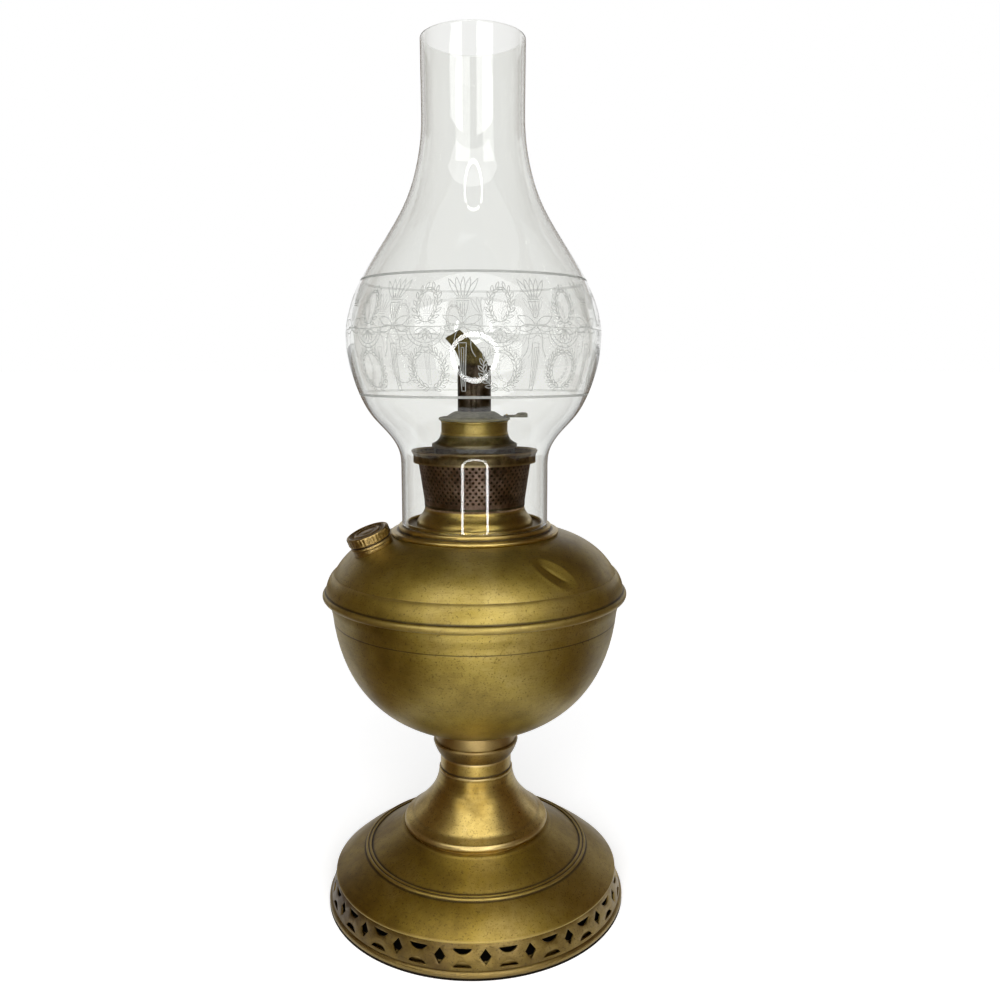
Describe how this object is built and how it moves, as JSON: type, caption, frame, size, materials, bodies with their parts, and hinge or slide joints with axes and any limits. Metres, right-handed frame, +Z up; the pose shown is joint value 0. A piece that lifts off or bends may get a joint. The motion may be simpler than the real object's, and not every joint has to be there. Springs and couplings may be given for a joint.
{
  "type": "parlor oil lamp",
  "caption": "Brass table oil lamp with a pierced foot, a round font with filler cap, a lever-raised round wick in a perforated burner, and a bulged clear glass chimney.",
  "frame": {"origin": "on the lamp's axis at table level", "axes": "+Z up along the lamp's axis, -Y towards the viewer of the picture, +X to the viewer's right, where the wick lever points"},
  "size_m": [0.1592, 0.1592, 0.4406],
  "materials": {
    "brass": "polished brass with an olive patina",
    "aged_brass": "dulled brass",
    "dark_brass": "heat-darkened brass",
    "copper": "brown, sooty tube",
    "steel": "plain steel",
    "gasket": "oiled leather or cork",
    "wick": "woven cotton, charred at the tip",
    "glass": "clear, with an etched frieze"
  },
  "bodies": {
    "lamp": {"foot_rim": "brass", "pierced_skirt": "brass", "foot_dome": "brass", "stem": "aged_brass", "stem_cup": "brass", "cup_screw": "steel", "tie_spider": "dark_brass", "tube_nut": "aged_brass", "draft_tube": "aged_brass", "font_boss": "brass", "boss_washer": "gasket", "boss_nut": "aged_brass", "font_bowl": "brass", "font_shoulder": "brass", "seam_ring": "aged_brass", "collar_ring": "brass", "font_neck": "brass", "filler_neck": "aged_brass"},
    "filler_seal": {"filler_gasket": "gasket"},
    "filler_cap": {"filler_cap": "brass"},
    "burner_seal": {"burner_gasket": "gasket"},
    "burner": {"burner_spigot": "dark_brass", "burner_floor": "dark_brass", "air_basket": "dark_brass", "gallery_rim": "dark_brass", "burner_cone": "dark_brass", "neck_band": "brass", "wick_tube": "copper", "wick_tip": "wick"},
    "turner": {"turning_cap": "dark_brass", "wick_lever": "dark_brass", "lever_rivets": "aged_brass", "raiser_sleeve": "aged_brass"},
    "wick": {"wick": "wick", "wick_carrier": "aged_brass", "carrier_pins": "steel"},
    "chimney": {"glass_base": "glass", "glass_swell": "glass", "glass_bulb": "glass", "glass_neck": "glass"}
  },
  "joints": [
    {"name": "chimney_lift", "type": "slide", "parent": "lamp", "child": "chimney", "axis": [0, 0, 1], "range_m": [0, 0.15]},
    {"name": "filler_cap_rise", "type": "slide", "parent": "lamp", "child": "filler_seal", "axis": [-0.3374, -0.1432, 0.9304], "range_m": [0, 0.0045]},
    {"name": "filler_cap_turn", "type": "hinge", "parent": "filler_seal", "child": "filler_cap", "pos_m": [-0.05017, -0.0213, 0.19538], "axis": [-0.3374, -0.1432, 0.9304], "range_deg": [0, 1080]},
    {"name": "burner_rise", "type": "slide", "parent": "lamp", "child": "burner_seal", "axis": [0, 0, 1], "range_m": [0, 0.003]},
    {"name": "burner_turn", "type": "hinge", "parent": "burner_seal", "child": "burner", "pos_m": [0, 0, 0.2134], "axis": [0, 0, 1], "range_deg": [0, 720]},
    {"name": "lever_turn", "type": "hinge", "parent": "burner", "child": "turner", "pos_m": [0, 0, 0.257], "axis": [0, 0, 1], "range_deg": [0, 300]},
    {"name": "wick_lift", "type": "slide", "parent": "burner", "child": "wick", "axis": [0, 0, 1], "range_m": [-0.019, 0], "deforming": ["wick_tip"]}
  ],
  "couplings": [
    {"joint": "filler_cap_rise", "follows": "filler_cap_turn", "m_per_rad": 0.00023873},
    {"joint": "burner_rise", "follows": "burner_turn", "m_per_rad": 0.00023873},
    {"joint": "wick_lift", "follows": "lever_turn", "m_per_rad": -0.0036287}
  ]
}
